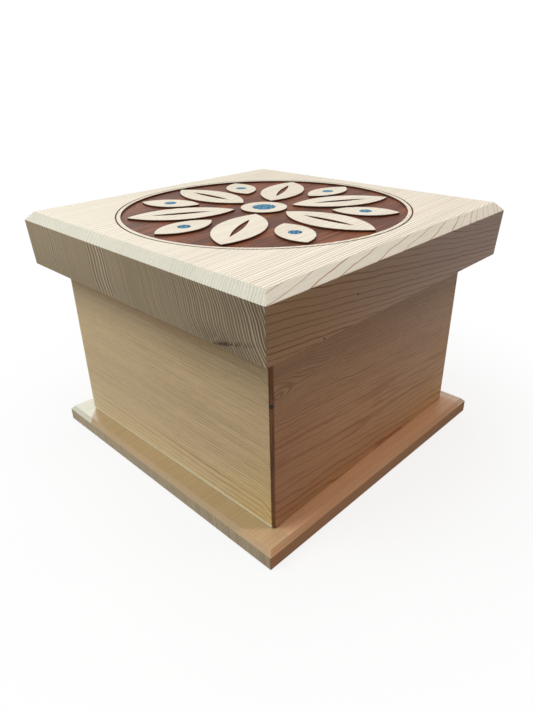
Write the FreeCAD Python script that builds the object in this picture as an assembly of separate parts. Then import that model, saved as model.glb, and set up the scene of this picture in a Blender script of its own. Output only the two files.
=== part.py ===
import FreeCAD, Part
import math
import os

from FreeCAD import Vector

# A lidded keepsake box of pale cedar. One plank makes all four sides: it is kerfed and bent round three
# corners, and lapped and pegged at the fourth. It stands on a wide chamfered base, and a thick lid, hollowed
# underneath, drops over its rim. Sizes are in millimetres. The origin is the centre of the base's underside,
# Z is up, and the lapped corner is at +X, -Y.

# Side plank, bent into a square
side_width = 201.0            # outside, from face to face
side_height = 133.0
side_turn = 0.83              # degrees that the sides, and what fits them, stand turned on the base
side_thickness = 10.5
side_edge_radius = 0.8        # the softened edges of the rim and the foot
bend_radius = 3.0             # outside of the three bent corners
kerf_skin = 3.2               # wood left outside each kerf, which is what bends
kerf_mouth = 0.6              # what is left of each kerf once it has closed
kerf_root_diameter = 2.2      # the rounded bottom of each kerf

# Lapped corner
lap_lip = 1.2                 # the lip that covers the other end of the plank, halfway up
lap_slant = 0.26              # degrees that the seam leans, so that the lip narrows towards the foot
lap_gap = 0.7                 # the open seam beside the lip
lap_shoulder_gap = 0.2        # behind the covered end
lap_corner_radius = 2.4       # outside of the lip

# Pegs
corner_peg_count = 4
corner_peg_diameter = 4.0
corner_peg_reach = 14.0       # into the end of the lipped side
corner_peg_skin = 3.0         # wood left over the hidden ends of the pegs
base_peg_diameter = 5.0
base_peg_reach = 20.0         # into the lower edge of the sides
base_peg_inset = 42.0         # from the outside of a corner to the nearest peg
peg_fit_gap = 0.05            # round a peg in its hole
peg_end_gap = 0.5             # beyond a peg's tip, and below its head under the base
peg_tip_chamfer = 0.6

# Base board
base_thickness = 12.0
base_margin = 13.75           # how far the base stands out past the sides
base_chamfer = 2.8
base_edge_radius = 0.5
floor_rise = 6.0              # the raised floor panel, above the rest of the base
floor_gap = 0.3               # between the floor panel and the sides

# Lid
lid_thickness = 37.0
lid_rim = 16.4                # wood round the hollow, at the lid's widest line
lid_chamfer = 5.5
lid_setback = 1.4             # how far the lower edge stands in from the widest line
lid_edge_radius = 0.5
lid_hollow_depth = 12.0       # how far the lid drops over the sides
lid_hollow_gap = 0.6          # between the hollow and the sides

# Rosette carved in the lid: pale leaves left standing on a sunk ground, inside an incised circle
rosette_margin = 12.5         # from the incised circle to the chamfer
circle_line_width = 1.1
circle_line_depth = 0.8
rosette_border = 2.4          # plain wood between the incised circle and the sunk ground
ground_depth = 1.4
leaf_count = 6
petal_turn_share = 0.0                  # where the first leaf points, as a share of their spacing
bud_turn_share = 0.5
petal_span_shares = (0.215, 0.955)      # where each petal starts and ends, as shares of the ground's radius
petal_half_width_share = 0.165
vein_span_shares = (0.37, 0.80)
vein_half_width_share = 0.024
vein_depth = 1.0
bud_span_shares = (0.49, 0.945)         # the small leaves between the petals
bud_half_width_share = 0.118
boss_radius_share = 0.165               # the round boss in the middle

# Shell discs let into the boss and the buds
centre_shell_diameter = 16.0
bud_shell_diameter = 8.4
shell_thickness = 1.5
shell_gap = 0.1

# How far a cutting shape runs past the wood that it cuts
overrun = 2.0

# Sizes that follow from those above
side_half = side_width / 2
inside_half = side_half - side_thickness
rim_height = base_thickness + side_height
base_half = side_half + base_margin
hollow_width = side_width + 2 * lid_hollow_gap
lid_half = hollow_width / 2 + lid_rim
lid_bottom = rim_height - lid_hollow_depth
lid_top = lid_bottom + lid_thickness
circle_radius = lid_half - lid_chamfer - rosette_margin
ground_radius = circle_radius - circle_line_width / 2 - rosette_border
boss_radius = boss_radius_share * ground_radius
bud_shell_distance = ground_radius * sum(bud_span_shares) / 2

quarter_turn = math.pi / 2
corner_signs = ((1, -1), (1, 1), (-1, 1), (-1, -1))     # counterclockwise from the lapped corner
bent_corners = corner_signs[1:]


def box_between(low, high):
    """A block from its lowest corner to its highest."""
    size = Vector(*high) - Vector(*low)
    return Part.makeBox(size.x, size.y, size.z, Vector(*low))


def tapered_block(half_low, half_high, z_low, z_high):
    """A square block whose half width changes from its bottom to its top."""
    height = z_high - z_low
    block = Part.makeWedge(-half_low, 0, -half_low, -half_high, -half_high,
                           half_low, height, half_low, half_high, half_high)
    block.rotate(Vector(), Vector(1, 0, 0), math.degrees(quarter_turn))
    block.translate(Vector(0, 0, z_low))
    return block


def rounded_prism(width, radii, z_low, z_high):
    """A square prism with its own radius on each upright corner, in the order of corner_signs."""
    arcs = []
    for quarter, ((sign_x, sign_y), radius) in enumerate(zip(corner_signs, radii)):
        centre = Vector(sign_x * (width / 2 - radius), sign_y * (width / 2 - radius), z_low)
        angles = [(quarter - 1 + step / 2) * quarter_turn for step in range(3)]
        points = [centre + Vector(math.cos(a), math.sin(a), 0) * radius for a in angles]
        arcs.append(Part.Arc(*points).toShape())
    edges = []
    for arc, following in zip(arcs, arcs[1:] + arcs[:1]):
        line = Part.makeLine(arc.Vertexes[-1].Point, following.Vertexes[0].Point)
        edges += [arc, line]
    return Part.Face(Part.Wire(edges)).extrude(Vector(0, 0, z_high - z_low))


def leaf_prism(span_shares, half_width_share, z_low, z_high):
    """A pointed leaf of two arcs, lying along +X, with its sizes as shares of the ground's radius."""
    start, end = [share * ground_radius for share in span_shares]
    half_width = half_width_share * ground_radius
    tips = [Vector(start, 0, z_low), Vector(end, 0, z_low)]
    sides = [Vector((start + end) / 2, sign * half_width, z_low) for sign in (1, -1)]
    arcs = [Part.Arc(tips[0], side, tips[1]).toShape() for side in sides]
    return Part.Face(Part.Wire(arcs)).extrude(Vector(0, 0, z_high - z_low))


def round_the_rosette(shape, turn_share):
    """Copies of a shape, turned evenly about the lid's middle, the first by a share of their spacing."""
    spacing = math.degrees(4 * quarter_turn) / leaf_count
    copies = []
    for index in range(leaf_count):
        turned = shape.copy()
        turned.rotate(Vector(), Vector(0, 0, 1), (index + turn_share) * spacing)
        copies.append(turned)
    return copies


def level_edges(shape):
    """The edges of an upright prism that lie level, round its top and its foot."""
    return [edge for edge in shape.Edges if edge.BoundBox.ZLength < shape.BoundBox.ZLength / 2]


def turned_with_sides(shape):
    """A copy of a shape that fits the sides, turned to where they stand on the base."""
    turned = shape.copy()
    turned.rotate(Vector(), Vector(0, 0, 1), side_turn)
    return turned


def peg(diameter, length):
    """A round peg from the origin up +Z, with a chamfered tip."""
    radius = diameter / 2
    shoulder = Vector(0, 0, length - peg_tip_chamfer)
    shank = Part.makeCylinder(radius, shoulder.z)
    tip = Part.makeCone(radius, radius - peg_tip_chamfer, peg_tip_chamfer, shoulder)
    return shank.fuse(tip).removeSplitter()


def peg_hole(diameter, length):
    """The hole that a peg fits, from below its head to beyond its tip."""
    return Part.makeCylinder(diameter / 2 + peg_fit_gap, length + 2 * peg_end_gap, Vector(0, 0, -peg_end_gap))


def at_base_pegs(shape):
    """Copies of a shape at each base peg, standing in the middle of the sides' thickness."""
    along = side_half - base_peg_inset
    across = side_half - side_thickness / 2
    copies = []
    for quarter in range(4):
        for sign in (1, -1):
            placed = shape.copy()
            placed.translate(Vector(sign * along, -across, peg_end_gap))
            placed.rotate(Vector(), Vector(0, 0, 1), math.degrees(quarter * quarter_turn))
            copies.append(placed)
    return copies


def at_corner_pegs(shape):
    """Copies of a shape at each corner peg, lying along +Y through the shoulder of the lap."""
    across = side_half - (lap_lip + side_thickness) / 2
    copies = []
    for index in range(corner_peg_count):
        placed = shape.copy()
        placed.rotate(Vector(), Vector(1, 0, 0), -math.degrees(quarter_turn))
        height = base_thickness + side_height * (index + 1 / 2) / corner_peg_count
        placed.translate(Vector(across, -side_half + corner_peg_skin, height))
        copies.append(placed)
    return copies


base_peg_length = base_thickness - peg_end_gap + base_peg_reach
corner_peg_length = side_thickness - corner_peg_skin + lap_shoulder_gap + corner_peg_reach


def lap_seam():
    """The open seam of the lapped corner: beside the lip, then along the shoulder behind the covered end."""
    halfway = base_thickness + side_height / 2
    lip_inside = side_half - lap_lip
    shoulder = -side_half + side_thickness
    z_low, z_high = base_thickness - overrun, rim_height + overrun
    beside_lip = box_between((lip_inside - lap_gap, -side_half - overrun, z_low),
                             (lip_inside, shoulder + lap_shoulder_gap, z_high))
    behind_end = box_between((inside_half - overrun, shoulder, z_low),
                             (lip_inside, shoulder + lap_shoulder_gap, z_high))
    seam = beside_lip.fuse(behind_end)
    seam.rotate(Vector(lip_inside, 0, halfway), Vector(0, 1, 0), -lap_slant)
    return seam


def closed_kerf(signs):
    """A kerf that bending has closed: a fine slot from the inner corner outwards, with a round root."""
    diagonal = math.sqrt(2)
    reach = side_thickness * diagonal - bend_radius * (diagonal - 1) - kerf_skin
    root_radius = kerf_root_diameter / 2
    z_low, z_high = base_thickness - overrun, rim_height + overrun
    slot = box_between((-overrun, -kerf_mouth / 2, z_low), (reach - root_radius, kerf_mouth / 2, z_high))
    root = Part.makeCylinder(root_radius, z_high - z_low, Vector(reach - root_radius, 0, z_low))
    kerf = slot.fuse(root)
    kerf.rotate(Vector(), Vector(0, 0, 1), math.degrees(math.atan2(signs[1], signs[0])))
    kerf.translate(Vector(signs[0] * inside_half, signs[1] * inside_half, 0))
    return kerf


def make_side_plank():
    """The bent plank: a square ring with kerfs inside three corners and a lap at the fourth."""
    outside = rounded_prism(side_width, [lap_corner_radius] + [bend_radius] * 3, base_thickness, rim_height)
    inside = box_between((-inside_half, -inside_half, base_thickness - overrun),
                         (inside_half, inside_half, rim_height + overrun))
    ring = outside.cut(inside)
    ring = ring.makeFillet(side_edge_radius, level_edges(ring))
    cuts = [lap_seam()] + [closed_kerf(signs) for signs in bent_corners]
    cuts += at_base_pegs(peg_hole(base_peg_diameter, base_peg_length))
    cuts += at_corner_pegs(peg_hole(corner_peg_diameter, corner_peg_length))
    return turned_with_sides(ring.cut(cuts))


def make_base_board():
    """The base: a chamfered square board with a raised floor panel, and holes for the pegs."""
    chamfer_foot = base_thickness - base_chamfer
    board = tapered_block(base_half, base_half, 0, chamfer_foot)
    board = board.fuse(tapered_block(base_half, base_half - base_chamfer, chamfer_foot, base_thickness))
    board = board.makeFillet(base_edge_radius, board.Edges)
    floor_half = inside_half - floor_gap
    floor = box_between((-floor_half, -floor_half, base_thickness - base_chamfer),
                        (floor_half, floor_half, base_thickness + floor_rise))
    board = board.fuse(turned_with_sides(floor)).removeSplitter()
    holes = at_base_pegs(peg_hole(base_peg_diameter, base_peg_length))
    return board.cut([turned_with_sides(hole) for hole in holes])


def make_lid_plank():
    """The lid: a chamfered block that draws in downwards, hollowed below and carved on top."""
    widest = lid_top - lid_chamfer
    block = tapered_block(lid_half - lid_setback, lid_half, lid_bottom, widest)
    block = block.fuse(tapered_block(lid_half, lid_half - lid_chamfer, widest, lid_top))
    block = block.makeFillet(lid_edge_radius, block.Edges)
    hollow_radii = [lap_corner_radius + lid_hollow_gap] * len(corner_signs)
    hollow = rounded_prism(hollow_width, hollow_radii, lid_bottom - overrun, rim_height)
    return block.cut([turned_with_sides(hollow)] + rosette_cuts())


def rosette_cuts():
    """What the carver takes out of the lid's top, and the seats of the shell discs."""
    above = lid_top + overrun
    bottom = Vector(0, 0, lid_top - ground_depth)
    ground = Part.makeCylinder(ground_radius, above - bottom.z, bottom)
    leaf_bottom = bottom.z - overrun
    standing = [Part.makeCylinder(boss_radius, above + overrun - leaf_bottom, Vector(0, 0, leaf_bottom))]
    petal = leaf_prism(petal_span_shares, petal_half_width_share, leaf_bottom, above + overrun)
    bud = leaf_prism(bud_span_shares, bud_half_width_share, leaf_bottom, above + overrun)
    standing += round_the_rosette(petal, petal_turn_share)
    standing += round_the_rosette(bud, bud_turn_share)
    vein = leaf_prism(vein_span_shares, vein_half_width_share, lid_top - vein_depth, above)
    line_bottom = Vector(0, 0, lid_top - circle_line_depth)
    line_radii = [circle_radius + sign * circle_line_width / 2 for sign in (1, -1)]
    line_discs = [Part.makeCylinder(radius, above - line_bottom.z, line_bottom) for radius in line_radii]
    cuts = [ground.cut(standing), line_discs[0].cut(line_discs[1])]
    cuts += round_the_rosette(vein, petal_turn_share)
    cuts.append(shell_disc(centre_shell_diameter, 0, shell_gap, overrun))
    bud_seat = shell_disc(bud_shell_diameter, bud_shell_distance, shell_gap, overrun)
    cuts += round_the_rosette(bud_seat, bud_turn_share)
    return cuts


def shell_disc(diameter, distance, gap, rise):
    """A disc whose bottom is the seat of a shell, widened by a gap and raised above the lid's top."""
    seat = Vector(distance, 0, lid_top - shell_thickness)
    return Part.makeCylinder(diameter / 2 + gap, shell_thickness + rise, seat)


def make_all():
    """Every node's name, with its solid or group of solids."""
    corner_pegs = Part.makeCompound(at_corner_pegs(peg(corner_peg_diameter, corner_peg_length)))
    base_pegs = Part.makeCompound(at_base_pegs(peg(base_peg_diameter, base_peg_length)))
    nodes = {
        "side_plank": make_side_plank(),
        "corner_pegs": turned_with_sides(corner_pegs),
        "base_board": make_base_board(),
        "base_pegs": turned_with_sides(base_pegs),
        "lid_plank": make_lid_plank(),
        "centre_shell": shell_disc(centre_shell_diameter, 0, 0, 0),
    }
    bud_shell = shell_disc(bud_shell_diameter, bud_shell_distance, 0, 0)
    for number, shell in enumerate(round_the_rosette(bud_shell, bud_turn_share), start=1):
        nodes[f"rosette_shell_{number}"] = shell
    return nodes


os.makedirs("parts", exist_ok=True)
for name, shape in make_all().items():
    solids = shape.Solids
    whole = solids[0] if len(solids) == 1 else Part.makeCompound(solids)
    whole.exportStep(f"parts/{name}.step")
    state = "valid" if whole.isValid() else "NOT VALID"
    print(name, len(solids), "solids", round(whole.Volume), "mm3", state)
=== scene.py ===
# %% [markdown]
# # A bentwood box of pale cedar
# One plank makes all four sides of this box: it is kerfed, bent round three corners and lapped at the
# fourth. It stands on a wide chamfered base, and a thick lid drops over its rim. The shapes come from the
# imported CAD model, so this lesson is about the camera, the light and the wood: growth rings that run
# through each plank, stain in the sunk ground of the carving, and the blue shell let into it.

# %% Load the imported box
import math

import bmesh
import bpy
from mathutils import Matrix, Vector


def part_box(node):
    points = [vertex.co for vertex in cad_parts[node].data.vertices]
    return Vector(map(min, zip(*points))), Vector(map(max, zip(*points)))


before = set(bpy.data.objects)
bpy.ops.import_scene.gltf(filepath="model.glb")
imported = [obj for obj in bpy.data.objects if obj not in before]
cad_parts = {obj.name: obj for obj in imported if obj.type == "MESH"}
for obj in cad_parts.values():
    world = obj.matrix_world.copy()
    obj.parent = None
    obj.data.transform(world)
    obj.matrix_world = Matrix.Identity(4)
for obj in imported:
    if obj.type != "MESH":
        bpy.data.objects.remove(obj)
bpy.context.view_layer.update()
print("nodes:", ", ".join(sorted(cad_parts)))

# %% [markdown]
# ## The camera
# The photograph looks down at the lapped corner from close by, so the verticals lean together. A camera
# can be set by eye, but this one was worked out: twenty corners of the box were matched to the
# photograph, which gives the lens, the place and the three turns of a pinhole camera. Its three axes make
# the columns of its matrix.

# %% Camera
photo_height = 711                                     # pixels
focal_length = 560.1                                   # pixels
camera_place = Vector((0.2755, -0.2747, 0.2569))
azimuth, elevation, roll = [math.radians(degrees) for degrees in (45.133, 27.458, -1.183)]

back = Vector((math.sin(azimuth) * math.cos(elevation),
               -math.cos(azimuth) * math.cos(elevation),
               math.sin(elevation)))
level_right = Vector((math.cos(azimuth), math.sin(azimuth), 0))
level_up = back.cross(level_right)
right = math.cos(roll) * level_right + math.sin(roll) * level_up
up = back.cross(right)

camera_data = bpy.data.cameras.new("camera")
camera_data.sensor_fit = "VERTICAL"
camera_data.sensor_height = camera_data.sensor_width
camera_data.lens = camera_data.sensor_height * focal_length / photo_height
camera = bpy.data.objects.new("camera", camera_data)
camera.matrix_world = Matrix.Translation(camera_place) @ Matrix((right, up, back)).transposed().to_4x4()
bpy.context.scene.collection.objects.link(camera)
bpy.context.scene.camera = camera
bpy.context.scene.view_settings.view_transform = "Standard"
print("lens in mm:", round(camera_data.lens, 2))

# %% [markdown]
# ## Shader arithmetic
# Wood is arithmetic: a distance from the heart of the tree, divided by the width of a ring. Wiring Math
# nodes by hand hides that, so a small class wraps a socket and lets Python's own operators add the nodes.
# The second class is a material in the making, and every other kind of node comes from its one method,
# node().

# %% A socket with arithmetic
class Wire:
    """A shader socket; each operator adds one Math node to its material."""

    def __init__(self, finish, socket):
        self.finish, self.socket = finish, socket

    def __add__(self, other):
        return self.finish.math("ADD", self, other)

    def __sub__(self, other):
        return self.finish.math("SUBTRACT", self, other)

    def __rsub__(self, other):
        return self.finish.math("SUBTRACT", other, self)

    def __mul__(self, other):
        return self.finish.math("MULTIPLY", self, other)

    def __truediv__(self, other):
        return self.finish.math("DIVIDE", self, other)

    def __rtruediv__(self, other):
        return self.finish.math("DIVIDE", other, self)

    def __gt__(self, other):
        return self.finish.math("GREATER_THAN", self, other)

    def __lt__(self, other):
        return self.finish.math("LESS_THAN", self, other)

    def __abs__(self):
        return self.finish.math("ABSOLUTE", self)

    __radd__, __rmul__ = __add__, __mul__


print("a socket takes + - * / > < and abs")

# %% A material in the making
class Finish:
    """A material, and the few ways of adding nodes to it that this box needs."""

    def __init__(self, name):
        self.material = bpy.data.materials.new(name)
        self.material.use_nodes = True
        self.tree = self.material.node_tree

    def node(self, kind, settings, sockets, output=0):
        """Adds any node: its settings first, then the values or links of its sockets."""
        made = self.tree.nodes.new(kind)
        for name, value in settings.items():
            if name == "stops":
                self.set_stops(made.color_ramp.elements, value)
            else:
                setattr(made, name, value)
        self.plug(made, sockets)
        return Wire(self, made.outputs[output])

    def set_stops(self, elements, greys):
        """Gives a ramp its stops: a level of grey at each place from 0 to 1."""
        while len(elements) > 1:
            elements.remove(elements[-1])
        for place, grey in greys.items():
            stop = elements[0] if place == 0 else elements.new(place)
            stop.color = (grey, grey, grey, 1)

    def plug(self, node, sockets):
        for name, value in sockets.items():
            if isinstance(value, Wire):
                self.tree.links.new(value.socket, node.inputs[name])
            else:
                node.inputs[name].default_value = value

    def math(self, operation, *operands):
        return self.node("ShaderNodeMath", {"operation": operation}, dict(enumerate(operands)))

    def ramp(self, value, start, end):
        """Rises smoothly from 0 at start to 1 at end, and falls if end is the lower."""
        return self.node("ShaderNodeMapRange", {"interpolation_type": "SMOOTHSTEP"},
                         {"Value": value, "From Min": start, "From Max": end})

    def blend(self, first, second, amount):
        """A colour part of the way from the first to the second."""
        return self.node("ShaderNodeMix", {"data_type": "RGBA"}, {0: amount, 6: first, 7: second}, output=2)

    def scaled(self, colour, factor):
        return self.node("ShaderNodeVectorMath", {"operation": "SCALE"}, {0: colour, "Scale": factor})

    def joined(self, x, y, z):
        return self.node("ShaderNodeCombineXYZ", {}, {0: x, 1: y, 2: z})

    def split(self, vector):
        first = self.node("ShaderNodeSeparateXYZ", {}, {0: vector})
        return [Wire(self, socket) for socket in first.socket.node.outputs]

    def coordinates(self, kind):
        """The three parts of a texture coordinate: the place in the frame, or the way a face points."""
        return self.split(self.node("ShaderNodeTexCoord", {}, {}, output=kind))

    def noise(self, place, per_metre, seed=0, detail=2):
        """Smooth noise about zero, with its own number of bumps to the metre along each axis."""
        moved = self.node("ShaderNodeMapping", {},
                          {"Vector": place, "Location": [seed] * 3, "Scale": per_metre})
        return self.node("ShaderNodeTexNoise", {}, {"Vector": moved, "Scale": 1, "Detail": detail}) - 0.5

    def surface(self, sockets):
        self.plug(self.tree.nodes["Principled BSDF"], sockets)


def colour(red, green, blue):
    """A colour as a screen shows it, from 0 to 255, in the linear values that a shader takes."""
    shares = [value / 255 for value in (red, green, blue)]
    return [s / 12.92 if s < 0.04045 else ((s + 0.055) / 1.055) ** 2.4 for s in shares] + [1]


print("pale cedar in linear values:", [round(value, 2) for value in colour(231, 227, 210)[:3]])

# %% [markdown]
# ## The studio
# The box stands on a plain pale floor. A wide soft lamp overhead lights the top and the chamfers, another
# stands high at the front left for the left-hand side, and two weak ones stand behind, the right-hand one
# warm. The floor has two faces: what the camera sees is white, and it keeps the shadow, while the light
# that it throws back is that of a wooden table, which warms the sides of the box.

# %% Floor
floor_drop = 0.0004                                    # so that the floor and the base don't share a plane
floor_mesh = bpy.data.meshes.new("floor")
sheet = bmesh.new()
bmesh.ops.create_grid(sheet, x_segments=1, y_segments=1, size=4,
                      matrix=Matrix.Translation((0, 0, -floor_drop)))
sheet.to_mesh(floor_mesh)
sheet.free()
floor = bpy.data.objects.new("floor", floor_mesh)
bpy.context.scene.collection.objects.link(floor)


def seen_directly(finish):
    """1 for what the camera sees, straight or in a reflection, and 0 for light on its way to the box."""
    seen = [finish.node("ShaderNodeLightPath", {}, {}, output=ray)
            for ray in ("Is Camera Ray", "Is Glossy Ray", "Is Transmission Ray")]
    return finish.math("MINIMUM", seen[0] + seen[1] + seen[2], 1)


paper = Finish("floor")
x, y, z = paper.coordinates("Object")
away = paper.math("SQRT", x * x + y * y)
table_bounce = paper.node("ShaderNodeBsdfDiffuse", {}, {"Color": (0.37, 0.22, 0.13, 1)})
white_sheet = paper.node("ShaderNodeBsdfDiffuse", {}, {"Color": (0.92, 0.92, 0.92, 1)})
white_glow = paper.node("ShaderNodeEmission", {}, {"Color": (1, 1, 1, 1), "Strength": 1.0})
glow_share = 0.84 + 0.16 * paper.ramp(away, 0.14, 0.32)
lit_sheet = paper.node("ShaderNodeMixShader", {}, {0: glow_share, 1: white_sheet, 2: white_glow})
both = paper.node("ShaderNodeMixShader", {}, {0: seen_directly(paper), 1: table_bounce, 2: lit_sheet})
paper.plug(paper.tree.nodes["Material Output"], {"Surface": both})
floor_mesh.materials.append(paper.material)
print("floor:", [round(v, 1) for v in floor.dimensions], "m")

# %% Sky and lamps
class Sky(Finish):
    """The world's nodes, built in the same way as a material's."""

    def __init__(self, name):
        self.material = bpy.data.worlds.new(name)
        self.material.use_nodes = True
        self.tree = self.material.node_tree


sky = Sky("studio")
ambient = 0.05
strength = seen_directly(sky) * (1 - ambient) + ambient
sky.plug(sky.tree.nodes["Background"], {"Color": (1, 1, 1, 1), "Strength": strength})
bpy.context.scene.world = sky.material


def soft_lamp(name, place, width, level, tint=(1, 1, 1)):
    """A square lamp whose level is the share of full daylight that it gives a face turned towards it."""
    data = bpy.data.lights.new(name, "AREA")
    data.size, data.color = width, tint
    away = Vector(place) - Vector((0, 0, 0.1))
    data.energy = level * (math.pi * away.length) ** 2
    lamp = bpy.data.objects.new(name, data)
    lamp.location = place
    lamp.rotation_euler = away.to_track_quat("Z", "Y").to_euler()
    bpy.context.scene.collection.objects.link(lamp)
    print(name, round(data.energy, 1), "W")


soft_lamp("overhead lamp", (0.05, 0, 1.60), 1.00, 0.54)
soft_lamp("front lamp", (-0.45, -0.80, 1.15), 0.80, 0.53, (0.96, 1.0, 1.0))
soft_lamp("back lamp", (-2.50, 0.84, 1.42), 1.00, 0.12)
soft_lamp("right lamp", (0.69, 0.72, 1.20), 0.50, 0.15, (1.0, 0.65, 0.45))

# %% [markdown]
# ## Growth rings
# A tree grows a ring a year: pale early wood that darkens slowly into a thin line of late wood, then a
# sharp step back to pale. A plank shows whatever part of those cylinders it cuts through. A painted
# stripe would not meet itself at an edge, so the rings are solid: each point of the wood works out its
# distance from the heart of the log. Lines on the top, the edge and the end grain then join up by
# themselves.

# %% Rings and fibres
def distance_from_heart(finish, log, wander, seed):
    """How far a point is from the heart of a log along the first axis, give or take some wandering."""
    along, across, rise = finish.split(log)
    bend = finish.noise(log, (4, 14, 14), seed) * wander
    ripple = finish.noise(log, (18, 60, 60), seed + 7) * (wander / 5)
    tremble = finish.noise(log, (110, 90, 90), seed + 9) * (wander / 9)
    return finish.math("SQRT", across * across + rise * rise) + bend + ripple + tremble


def years(finish, distance, zones):
    """Counts the rings from the heart outwards; each zone has a start, an end and a ring's width."""
    count = 0
    for start, end, ring in zones:
        inside = finish.math("MINIMUM", finish.math("MAXIMUM", distance, start), end)
        count = count + (inside - start) / ring
    return count


def seasons(finish, count, least):
    """Where in its year each point grew, from 0 to 1, and how strongly that year marks the wood."""
    count = count + 0.8 * finish.node("ShaderNodeTexNoise", {"noise_dimensions": "1D"}, {"W": count * 0.13})
    year = finish.math("FLOOR", count)
    vigour = finish.node("ShaderNodeTexWhiteNoise", {"noise_dimensions": "1D"}, {"W": year})
    return count - year, least + (1 - least) * vigour


def late_line(finish, season, start):
    """The line of late wood: it starts at that part of the year, darkens, and ends sharply."""
    return finish.ramp(season, start, 0.92) * finish.ramp(season, 1.0, 0.94)


def fibres(finish, log, seed):
    """Fine streaks along the grain, under a millimetre wide, and broad soft bands of tone."""
    streaks = finish.noise(log, (12, 1100, 1100), seed + 13, detail=3)
    bands = finish.noise(log, (3, 30, 30), seed + 29)
    return streaks, bands


def swelling(finish, first, first_radius, second, second_radius):
    """A smooth hump, 1 in its middle, for where the rings bulge round a knot."""
    first, second = first / first_radius, second / second_radius
    return finish.math("EXPONENT", 0 - first * first - second * second)


wood_helpers = (distance_from_heart, years, seasons, late_line, fibres, swelling)
print("helpers for wood:", ", ".join(helper.__name__ for helper in wood_helpers))

# %% [markdown]
# ## The lid
# The lid is one thick plank with its grain along Y. Its heart lay beyond the upper right edge, and the
# rings there are wide and clear, while most of the plank is fine and even. The grain isn't quite true to
# the plank's edge: it runs out slowly, and faster at the far end, which is what draws long slanting lines
# on the right-hand faces.

# %% Rings of the lid
heart_across, heart_height = 0.239, 0.222              # where the heart of the log lay
grain_slope = 0.08                                     # how fast the grain runs out along the plank
far_bend = 9                                           # how strongly it bends away at the far end
lid_zones = ((0, 0.165, 0.0020), (0.165, 0.205, 0.0019), (0.205, 0.274, 0.0014), (0.274, 0.294, 0.0036),
             (0.294, 0.334, 0.0014), (0.334, 0.346, 0.0030), (0.346, 0.5, 0.0014))

lid_cedar = Finish("cedar_lid")
x, y, z = lid_cedar.coordinates("Object")
normal_x, normal_y, normal_z = lid_cedar.coordinates("Normal")
far_end = lid_cedar.math("MAXIMUM", y, 0)
upper_right = lid_cedar.ramp(z, 0.155, 0.165) * lid_cedar.ramp(x, 0.098, 0.110)
run_out = grain_slope * y + far_bend * far_end * far_end * far_end * upper_right
across, rise = x + run_out - heart_across, z - heart_height
log = lid_cedar.joined(y, across, rise)
end_cut = lid_cedar.ramp(abs(normal_y), 0.3, 0.6)      # 1 on the two ends and their chamfers
kink = 0.0030 * lid_cedar.ramp(z, 0.142, 0.158) * end_cut
waves = 0.0012 * lid_cedar.noise(log, (45, 60, 60), 5)
distance = distance_from_heart(lid_cedar, log, 0.0018, 3) + waves + kink
season, vigour = seasons(lid_cedar, years(lid_cedar, distance, lid_zones), 0.65)
streaks, bands = fibres(lid_cedar, log, 3)
print("rings of the lid in mm:", [round(1000 * ring, 1) for start, end, ring in lid_zones])

# %% Lines of late wood on the lid
facing = abs(normal_x * across + normal_z * rise) / distance
slab_cut = lid_cedar.ramp(facing, 0.55, 0.95)          # 1 where a face lies along the rings
long_chamfer = lid_cedar.ramp(normal_x, 0.3, 0.6) * lid_cedar.ramp(normal_z, 0.2, 0.5)
line = late_line(lid_cedar, season, 0.55 + 0.17 * slab_cut + 0.13 * long_chamfer) * vigour
near_heart = lid_cedar.ramp(distance, 0.175, 0.160)
left_face = normal_x < -0.5
line = line * (0.8 + 0.2 * near_heart) * (1 - 0.55 * left_face)
print("nodes for the rings of the lid:", len(lid_cedar.tree.nodes))

# %% Planed wood of the lid
upright = lid_cedar.ramp(abs(normal_z), 0.5, 0.2)
top_wood = lid_cedar.blend(colour(226, 221, 204), colour(238, 233, 218), lid_cedar.ramp(x, -0.11, 0.11))
# painted light: the long chamfers are painted paler than the top
early_wood = lid_cedar.blend(top_wood, colour(255, 252, 236), long_chamfer)
early_wood = lid_cedar.blend(early_wood, colour(231, 227, 210), end_cut)
# partly painted shade: the upright edges are painted darker and browner than the top
right_edge = lid_cedar.blend(colour(200, 182, 153), colour(206, 203, 202), lid_cedar.ramp(y, -0.10, 0.06))
long_edge = lid_cedar.blend(right_edge, colour(208, 184, 150), left_face)
early_wood = lid_cedar.blend(early_wood, long_edge, upright)
late_wood = lid_cedar.blend(colour(174, 132, 88), colour(176, 122, 82), long_chamfer)
late_wood = lid_cedar.blend(late_wood, colour(138, 92, 66), upright)
late_wood = lid_cedar.blend(late_wood, colour(200, 198, 180), end_cut)
long_grain = lid_cedar.blend(early_wood, late_wood, line)
print("nodes with the planed wood:", len(lid_cedar.tree.nodes))

# %% [markdown]
# Sawn end grain soaks up more oil than a planed face, so it is darker and greyer, and each year's edge
# shows pale. A face counts as end grain if it points along Y. The end chamfers show paler rings, and the
# long chamfers are painted paler than the top, as painted light.

# %% End grain of the lid
reach = 0.4                                            # the greatest distance that the stops cover
clear_stops = ((0, 0.75), (0.160, 0.75), (0.168, 0.45), (0.195, 0.50), (0.208, 0.38), (0.232, 0.30),
               (0.270, 0.25), (0.276, 0.52), (0.292, 0.48), (0.297, 0.20), (0.330, 0.20), (0.336, 0.50),
               (0.344, 0.45), (0.350, 0.15))
stops = {place / reach: grey for place, grey in clear_stops}
clear = lid_cedar.node("ShaderNodeValToRGB", {"stops": stops}, {"Fac": distance / reach})
band = late_line(lid_cedar, season, 0.15) * vigour * clear
glint = lid_cedar.ramp(season, 0.45, 0.18) * lid_cedar.ramp(season, 0.0, 0.06) * clear
end_late = lid_cedar.blend(colour(46, 28, 14), colour(84, 44, 22), lid_cedar.ramp(distance, 0.170, 0.158))
end_grain = lid_cedar.blend(colour(172, 160, 131), end_late, band)
end_grain = lid_cedar.blend(end_grain, colour(240, 234, 212), glint)
print("the end grain changes at", len(clear_stops), "distances from the heart")
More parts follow.
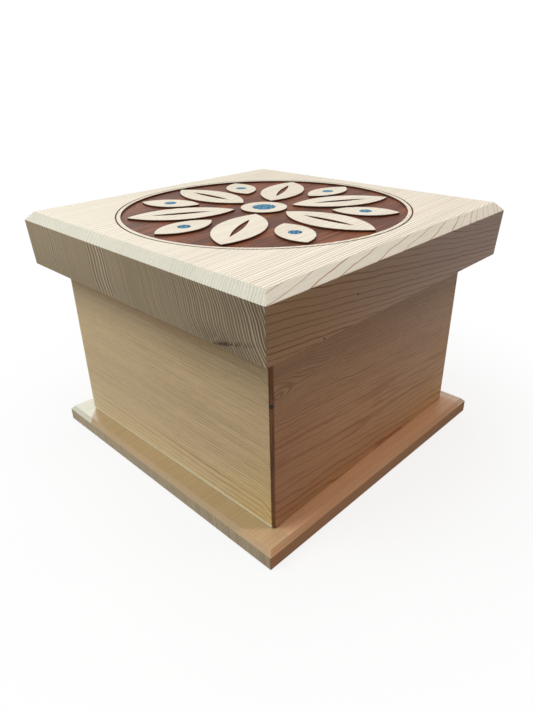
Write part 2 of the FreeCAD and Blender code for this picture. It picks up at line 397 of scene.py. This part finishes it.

# %% [markdown]
# Low on the front end, near the lapped corner, the saw tore the fibres, and the wood is dark and ragged
# there. A tear could be cut into the mesh, but it is shallow, so a smooth hump, broken up by noise,
# stains it instead. The whole end is also painted paler on the left and darker at the upper right corner,
# as painted light and shade, and its tone wanders at random with the distance from the heart.

# %% Tear, tone and painted light of the end grain
tear_x, tear_z, tear_slope = 0.0900, 0.1371, 0.28
mottle = lid_cedar.noise(log, (40, 420, 300), 17, detail=3)
rough_end = swelling(lid_cedar, x - 0.084, 0.018, z - 0.137, 0.007) * (0.3 + 0.7 * band)
above_tear = z - tear_z - tear_slope * (x - tear_x)
tear = 1.2 * swelling(lid_cedar, x - tear_x, 0.0135, above_tear, 0.0014)
front_end = normal_y < -0.5
torn = lid_cedar.math("MAXIMUM", rough_end, tear) * lid_cedar.ramp(mottle, -0.25, 0.05) * front_end
end_grain = lid_cedar.blend(end_grain, colour(84, 58, 36), torn)
end_tone = lid_cedar.node("ShaderNodeTexNoise", {"noise_dimensions": "1D"}, {"W": distance * 70})
upper_corner = lid_cedar.ramp(x, 0.06, 0.11) * lid_cedar.ramp(z, 0.142, 0.160)
left_height = (lid_cedar.ramp(z, 0.135, 0.160) - 0.55) * lid_cedar.ramp(x, 0.05, -0.06)
# painted light and shade: the end is painted paler on the left and darker at the upper right corner
end_painted_light = 0.78 + 0.17 * lid_cedar.ramp(x, 0.11, -0.08) + 0.14 * left_height - 0.16 * upper_corner
end_grain = lid_cedar.scaled(end_grain, end_painted_light + 0.32 * end_tone)
end_share = lid_cedar.ramp(abs(normal_y), 0.80, 0.97)
plank = lid_cedar.blend(long_grain, end_grain, end_share)
print("the tear lies", round(1000 * tear_x), "mm right of the middle")

# %% [markdown]
# The right-hand edge of the lid has a pin knot and a nick. They are too small to model, so two smooth
# humps colour them. The lower part of that edge is painted a little paler, as painted light, and fine
# streaks and soft bands of tone run through the whole plank.

# %% Marks on the edge of the lid
pin_knot_y, pin_knot_z = -0.049, 0.1505
nick_y, nick_z = -0.0747, 0.1335
right_face = upright * (normal_x > 0.5)
# painted light: the lower part of the right-hand edge is painted paler
lit_below = right_face * lid_cedar.ramp(z, 0.146, 0.136)
plank = lid_cedar.scaled(plank, 1 + 0.30 * streaks + 0.16 * bands + 0.12 * lit_below)
pin_knot = swelling(lid_cedar, y - pin_knot_y, 0.0011, z - pin_knot_z, 0.0007)
nick = swelling(lid_cedar, y - nick_y, 0.0012, z - nick_z, 0.0010)
marks = right_face * lid_cedar.ramp(pin_knot + nick, 0.25, 0.7)
plank = lid_cedar.blend(plank, colour(84, 54, 38), marks)
print("marks at heights in mm:", [round(1000 * height, 1) for height in (pin_knot_z, nick_z)])

# %% [markdown]
# ## The stained ground
# Inside the incised circle the carver sank the ground by less than two millimetres and stained it
# red-brown, and left the petals pale. The stain could be a second material on chosen faces, but the CAD
# mesh is left alone, so a mask reads the height and the distance from the middle. The stain is streaked
# along the grain, and the steep walls are an even dark brown.

# %% Stain on the lid
lid_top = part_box("lid_plank")[1].z
circle_outside = 0.1005
stain_top, stain_foot = lid_top - 0.0003, lid_top - 0.004
sunk = (z < stain_top) * (z > stain_foot)
in_circle = (x * x + y * y) < circle_outside ** 2
stained = sunk * in_circle
steep = lid_cedar.ramp(abs(normal_z), 0.7, 0.3)
pigment = lid_cedar.noise(log, (26, 520, 520), 51, detail=5)
wash = lid_cedar.noise(log, (14, 60, 60), 57)
stain_share = lid_cedar.ramp(pigment + 0.7 * wash, -0.18, 0.32)
stain = lid_cedar.blend(colour(70, 36, 21), colour(135, 75, 40), stain_share)
stain = lid_cedar.blend(stain, colour(80, 42, 24), steep)
lid_colour = lid_cedar.blend(plank, stain, stained)
print("stain between heights in mm:", round(1000 * stain_foot, 1), round(1000 * stain_top, 1))

# %% [markdown]
# ## A satin of oil
# All the wood wears the same thin oil. Late wood is denser and shines a little more, and the fibres stand
# up a little. Relief as fine as that could not be modelled, so a bump does it.

# %% Oiled surface
def satin(finish, base_colour, streaks, line, relief, gloss=0.0, mirror=0.35):
    """An oiled wood surface, with its shine from the late wood and its bump from a relief."""
    bump = finish.node("ShaderNodeBump", {}, {"Strength": 0.25, "Distance": 0.0004, "Height": relief})
    shine = 0.55 - gloss - 0.10 * line + 0.12 * streaks
    finish.surface({"Base Color": base_colour, "Roughness": shine, "Normal": bump,
                    "Specular IOR Level": mirror})


def dress(node, finish):
    """Gives a node of the CAD model its finish."""
    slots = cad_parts[node].material_slots
    for slot in slots:
        slot.material = finish.material
    print(node, "wears", finish.material.name, "in", len(slots), "slot")


satin(lid_cedar, lid_colour, streaks, line, streaks + 0.4 * line + 1.2 * stained * pigment, mirror=0.2)
dress("lid_plank", lid_cedar)

# %% [markdown]
# ## The sides
# One plank goes all the way round, so its grain has to turn the corners. The sides stand a little turned
# on the base, so the place is first turned back. Then the place along the plank is worked out from the
# corner where it starts, wall by wall, and the depth is measured in from the outside. With those two and
# the height, the same growth rings run round the box and break only at the lap.

# %% Where a point lies along the bent plank
side_half = 0.1005
side_turn = math.radians(0.83)
lip_inside = side_half - 0.00155                       # the lip belongs to the wall that it comes from

side_cedar = Finish("cedar_sides")
x, y, z = side_cedar.coordinates("Object")
x, y = x * math.cos(side_turn) + y * math.sin(side_turn), y * math.cos(side_turn) - x * math.sin(side_turn)
wide, deep = abs(x), abs(y)
on_x_wall = side_cedar.math("MAXIMUM", wide > deep, x > lip_inside)
right_half, back_half = x > 0, y > 0
on_x = right_half * (y + side_half) + (1 - right_half) * (5 * side_half - y)
on_y = back_half * (3 * side_half - x) + (1 - back_half) * (7 * side_half + x)
along = on_x_wall * on_x + (1 - on_x_wall) * on_y
depth = side_half - (on_x_wall * wide + (1 - on_x_wall) * deep)
print("the bent plank is", round(8000 * side_half), "mm long outside")

# %% [markdown]
# The log's heart lay behind the lower edge of the plank and at a slant to it. The wide young rings near
# the heart show low down as wavy lines, mostly at the end that makes the right-hand side, and the fine
# later rings above them. A small knot sits beside the lap. There the height is squeezed together, so that
# the rings part round the knot.

# %% Rings of the sides
lap_end = 8 * side_half
knot_height = 0.102
heart_depth, heart_drop = 0.045, 0.012                 # inside the outer face, and below the floor
side_zones = ((0, 0.098, 0.0038), (0.098, 0.108, 0.0024), (0.108, 0.117, 0.0017), (0.117, 0.3, 0.0014))

flat_end = side_cedar.ramp(along, 0.35, 0.05)          # 1 at the end that makes the right-hand side
knot = swelling(side_cedar, along, 0.024, z - knot_height, 0.0090)
squeezed = z + knot * (knot_height - z)
slant = 0.10 * along - 0.055 * along * along
log = side_cedar.joined(along, depth + heart_depth, squeezed + heart_drop + slant)
waves = 0.007 * flat_end * side_cedar.noise(log, (20, 70, 70), 23)
knot_rings = 0.0066 * swelling(side_cedar, along, 0.018, z - knot_height, 0.0060)
corner_drop = 0.004 * side_cedar.ramp(along, lap_end - 0.010, lap_end)
distance = distance_from_heart(side_cedar, log, 0.008, 21) + waves + knot_rings + corner_drop
season, vigour = seasons(side_cedar, years(side_cedar, distance, side_zones), 0.6)
streaks, bands = fibres(side_cedar, log, 21)
print("rings of the sides in mm:", [round(1000 * ring, 1) for start, end, ring in side_zones])

# %% Lines of late wood on the sides
wide_rings = side_cedar.ramp(distance, 0.110, 0.098)
breaks = side_cedar.ramp(side_cedar.noise(log, (24, 160, 160), 27), -0.22, 0.12)
unbroken = side_cedar.math("MAXIMUM", 0.35 + 0.65 * breaks, knot)
faint = side_cedar.ramp(along, 0.50, 0.60) * side_cedar.ramp(along, 0.76, 0.64)
line = late_line(side_cedar, season, 0.45 + 0.17 * wide_rings * flat_end)
line = line * vigour * unbroken * (1 - 0.5 * faint)
print("nodes for the rings of the sides:", len(side_cedar.tree.nodes))

# %% Cedar of the sides
# partly painted shade: the right-hand side is painted darker and warmer than the left
flat_early = side_cedar.blend(colour(230, 208, 176), colour(225, 184, 141), side_cedar.ramp(z, 0.12, 0.02))
far_top = side_cedar.ramp(along, 0.07, 0.18) * side_cedar.ramp(z, 0.02, 0.10)
flat_early = side_cedar.blend(flat_early, colour(230, 215, 203), far_top)
by_seam = side_cedar.ramp(along, 0.07, 0.0) * side_cedar.ramp(z, 0.11, 0.06)
flat_early = side_cedar.blend(flat_early, colour(210, 171, 135), by_seam)
near_lap = side_cedar.ramp(along, lap_end - 0.06, lap_end)
left_early = side_cedar.blend(colour(240, 223, 181), colour(247, 232, 190), side_cedar.ramp(z, 0.05, 0.02))
left_early = side_cedar.blend(left_early, colour(247, 227, 168), near_lap * side_cedar.ramp(z, 0.09, 0.02))
# painted shade: under the lid the left-hand side is painted a cooler, yellower tint
lid_shadow_tint = side_cedar.blend(colour(234, 227, 194), colour(242, 241, 206), near_lap)
left_early = side_cedar.blend(left_early, lid_shadow_tint, side_cedar.ramp(z, 0.100, 0.122))
early_wood = side_cedar.blend(left_early, flat_early, flat_end)
late_fine = side_cedar.blend(colour(164, 136, 90), colour(154, 102, 68), flat_end)
late_wide = side_cedar.blend(colour(206, 162, 84), colour(172, 104, 54), flat_end)
late_wood = side_cedar.blend(late_fine, late_wide, wide_rings)
wall = side_cedar.blend(early_wood, late_wood, line)
print("nodes with the cedar of the sides:", len(side_cedar.tree.nodes))

# %% [markdown]
# Short dark flecks lie in the lower part of the right-hand side, and all the sides are painted a shade
# darker under the lid, as painted shadow of the lid. The flecks are noise that is stretched along the
# grain, with only its peaks kept.

# %% Flecks and painted lid shadow of the sides
dashes = side_cedar.ramp(side_cedar.noise(log, (16, 230, 230), 37), 0.05, 0.18)
dash_share = dashes * flat_end * side_cedar.ramp(z, 0.110, 0.045) * 0.6
wall = side_cedar.blend(wall, colour(176, 106, 60), dash_share)
fuzz = side_cedar.noise(log, (160, 900, 900), 35, detail=3)
# painted shadow of the lid: the sides are painted up to 18 % darker towards the top
painted_lid_shadow = side_cedar.ramp(z, 0.080, 0.130)
wall = side_cedar.scaled(wall, (1 + 0.3 * streaks + 0.3 * fuzz + 0.2 * bands) * (1 - 0.18 * painted_lid_shadow))
print("nodes with the flecks:", len(side_cedar.tree.nodes))

# %% [markdown]
# The end of the lip shows beside the seam as a narrow rounded nose of end grain, painted darker than the
# wall, partly as painted shade, and there is a small dark chip in it. A pale line is painted along the foot
# of the plank where it meets the base, as a painted highlight, and a bump flares it a little, so that it
# catches the light.

# %% Lip and foot of the sides
sides_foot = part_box("side_plank")[0].z
chip_inset, chip_height = 0.0010, 0.0975
# partly painted shade: the lip's nose is painted dark brown, partly end grain and partly shade
lip_nose = (x > lip_inside) * side_cedar.ramp(y, 0.0026 - side_half, 0.0012 - side_half)
lip_tone = side_cedar.ramp(side_cedar.noise(side_cedar.joined(z, x, y), (40, 900, 900), 33), -0.2, 0.2)
lip_colour = side_cedar.blend(colour(100, 68, 46), colour(166, 118, 80), lip_tone)
wall = side_cedar.blend(wall, lip_colour, lip_nose)
chip = swelling(side_cedar, x - side_half + chip_inset, 0.0011, z - chip_height, 0.0017)
chip = side_cedar.ramp(chip, 0.35, 0.6) * (y < 0.003 - side_half)
wall = side_cedar.blend(wall, colour(5, 4, 4), chip)
on_y_wall = 1 - on_x_wall
# painted highlight: a pale line along the foot of the front and back sides
foot = side_cedar.ramp(z, sides_foot + 0.0024, sides_foot + 0.0016) * on_y_wall
wall = side_cedar.blend(wall, colour(255, 244, 212), foot)
flare = side_cedar.ramp(z, sides_foot + 0.0026, sides_foot) * on_y_wall
satin(side_cedar, wall, streaks, line, streaks + 0.4 * line + 18 * flare)
dress("side_plank", side_cedar)

# %% [markdown]
# ## The base
# The base is a wide flat board with its grain along Y, a little warmer than the lid and with a little
# more gloss. Its front flange is painted a shade darker, as painted shadow, and a pale strip of painted
# light runs along its left edge and widens at the front.

# %% Rings of the base
base_ring = 0.0012
base_cedar = Finish("cedar_base")
x, y, z = base_cedar.coordinates("Object")
normal_x, normal_y, normal_z = base_cedar.coordinates("Normal")
log = base_cedar.joined(y, x - 0.02 * y + 0.26, z + 0.05)
distance = distance_from_heart(base_cedar, log, 0.003, 40)
season, vigour = seasons(base_cedar, distance / base_ring, 0.3)
streaks, bands = fibres(base_cedar, log, 40)
line = late_line(base_cedar, season, 0.60) * vigour
band = late_line(base_cedar, season, 0.30) * vigour
print("rings of the base in mm:", 1000 * base_ring)

# %% [markdown]
# The board's colour changes from place to place, mostly as painted light and shade. Each place that differs
# could be a material of its own, but the change is soft, so it gets a mask from the place or from the way
# that the face points: the painted light at the left and back edges, the painted shadow on the front
# flange, the chamfers and the shaded front corner.

# %% Where the base changes its tone
upright = base_cedar.ramp(abs(normal_z), 0.5, 0.2)
flat = base_cedar.ramp(normal_z, 0.55, 0.95)
# painted light: a pale strip along the left edge, wider at the front, as if lit from behind
painted_edge_light_end = base_cedar.ramp(x + 1.05 * (y + 0.101), -0.0945, -0.0980)
painted_edge_light = base_cedar.math("MAXIMUM", painted_edge_light_end, base_cedar.ramp(x + 0.02 * y, -0.0985, -0.1045))
# painted shadow: the front strip and the front flange are painted darker
front_strip = base_cedar.ramp(y, -0.0955, -0.0965)
front_flange = front_strip * base_cedar.ramp(x - y - 0.100, 0.1015, 0.0965)
front_chamfer = base_cedar.ramp(0 - normal_y, 0.3, 0.6)
right_chamfer = base_cedar.ramp(normal_x, 0.3, 0.6) * base_cedar.ramp(y, 0.10, 0.07)
front_corner = swelling(base_cedar, x - 0.114, 0.022, y + 0.100, 0.022)
corner_shade = front_corner * (0.18 - 0.11 * flat) * (1 - 0.5 * upright * (normal_x > 0.5))
print("nodes for the tones of the base:", len(base_cedar.tree.nodes))

# %% Cedar of the base
# painted shadow: the front of the base darker, the flange olive where the wall shades it
early_wood = base_cedar.blend(colour(231, 190, 151), colour(216, 184, 144), front_strip)
flange_wood = base_cedar.blend(colour(190, 167, 127), colour(199, 174, 136), front_chamfer)
early_wood = base_cedar.blend(early_wood, flange_wood, front_flange)
# painted light: the back flange is painted paler, as if lit from behind
early_wood = base_cedar.blend(early_wood, colour(240, 222, 202), base_cedar.ramp(y, 0.101, 0.106))
early_wood = base_cedar.blend(early_wood, colour(233, 231, 213), painted_edge_light)
chamfer_wood = base_cedar.blend(colour(228, 182, 138), colour(218, 170, 128), base_cedar.ramp(y, 0.0, 0.05))
early_wood = base_cedar.blend(early_wood, chamfer_wood, right_chamfer)
right_edge = base_cedar.blend(colour(199, 153, 102), colour(172, 122, 54), base_cedar.ramp(y, -0.02, 0.08))
long_edge = base_cedar.blend(right_edge, colour(218, 198, 162), normal_x < -0.5)
early_wood = base_cedar.blend(early_wood, long_edge, upright)
long_grain = base_cedar.blend(early_wood, colour(190, 140, 96), line * (0.6 - 0.5 * painted_edge_light))
end_grain = base_cedar.blend(colour(220, 210, 180), colour(136, 112, 82), band)
end_share = base_cedar.ramp(abs(normal_y), 0.80, 0.97)
board = base_cedar.blend(long_grain, end_grain, end_share)
streak_share = 0.28 - 0.14 * front_flange
board = base_cedar.scaled(board, 1 + streak_share * streaks + 0.16 * bands - corner_shade)
satin(base_cedar, board, streaks, line, streaks + 0.4 * line, gloss=0.27 * flat)
dress("base_board", base_cedar)

# %% [markdown]
# ## The pegs
# The pegs are split from a harder, darker offcut and driven in with their grain along their length. Only
# their ends show, under the base, as small round patches of end grain.

# %% Peg wood
peg_wood = Finish("peg_wood")
x, y, z = peg_wood.coordinates("Object")
log = peg_wood.joined(z, x, y)
rings = peg_wood.noise(log, (20, 900, 900), 61, detail=3)
tone = peg_wood.noise(log, (4, 60, 60), 63)
peg_share = peg_wood.ramp(rings + tone, -0.3, 0.3)
peg_colour = peg_wood.blend(colour(150, 112, 72), colour(196, 158, 112), peg_share)
peg_wood.surface({"Base Color": peg_colour, "Roughness": 0.6 + 0.2 * rings, "Specular IOR Level": 0.3})
for node in ("base_pegs", "corner_pegs"):
    dress(node, peg_wood)

# %% [markdown]
# ## The shell
# The discs are cut from the blue lining of a sea shell and polished flush. Such shell is built of wavy
# layers, and its colour follows them from deep blue through sky blue to green, under a clear gloss.

# %% Blue shell
blue_shell = Finish("blue_shell")
x, y, z = blue_shell.coordinates("Object")
place = blue_shell.joined(x, y, z)
swirl = blue_shell.noise(place, (140, 140, 140), 71)
layer_turns, layer_swirl = 1500, 22                    # how closely the layers lie, and how much they wave
layers = blue_shell.math("SINE", (x + 0.6 * y) * layer_turns + swirl * layer_swirl) * 0.5 + 0.5
patches = blue_shell.ramp(blue_shell.noise(place, (90, 90, 90), 75, detail=1), -0.2, 0.2)
shell_colour = blue_shell.blend(colour(0, 26, 66), colour(26, 132, 190), layers)
shell_colour = blue_shell.blend(shell_colour, colour(26, 132, 138), patches * 0.55)
blue_shell.surface({"Base Color": shell_colour, "Roughness": 0.22 + 0.12 * layers,
                    "Specular IOR Level": 0.03, "Coat Weight": 0.05, "Coat Roughness": 0.08})
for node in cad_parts:
    if node.endswith("shell") or "_shell_" in node:
        dress(node, blue_shell)
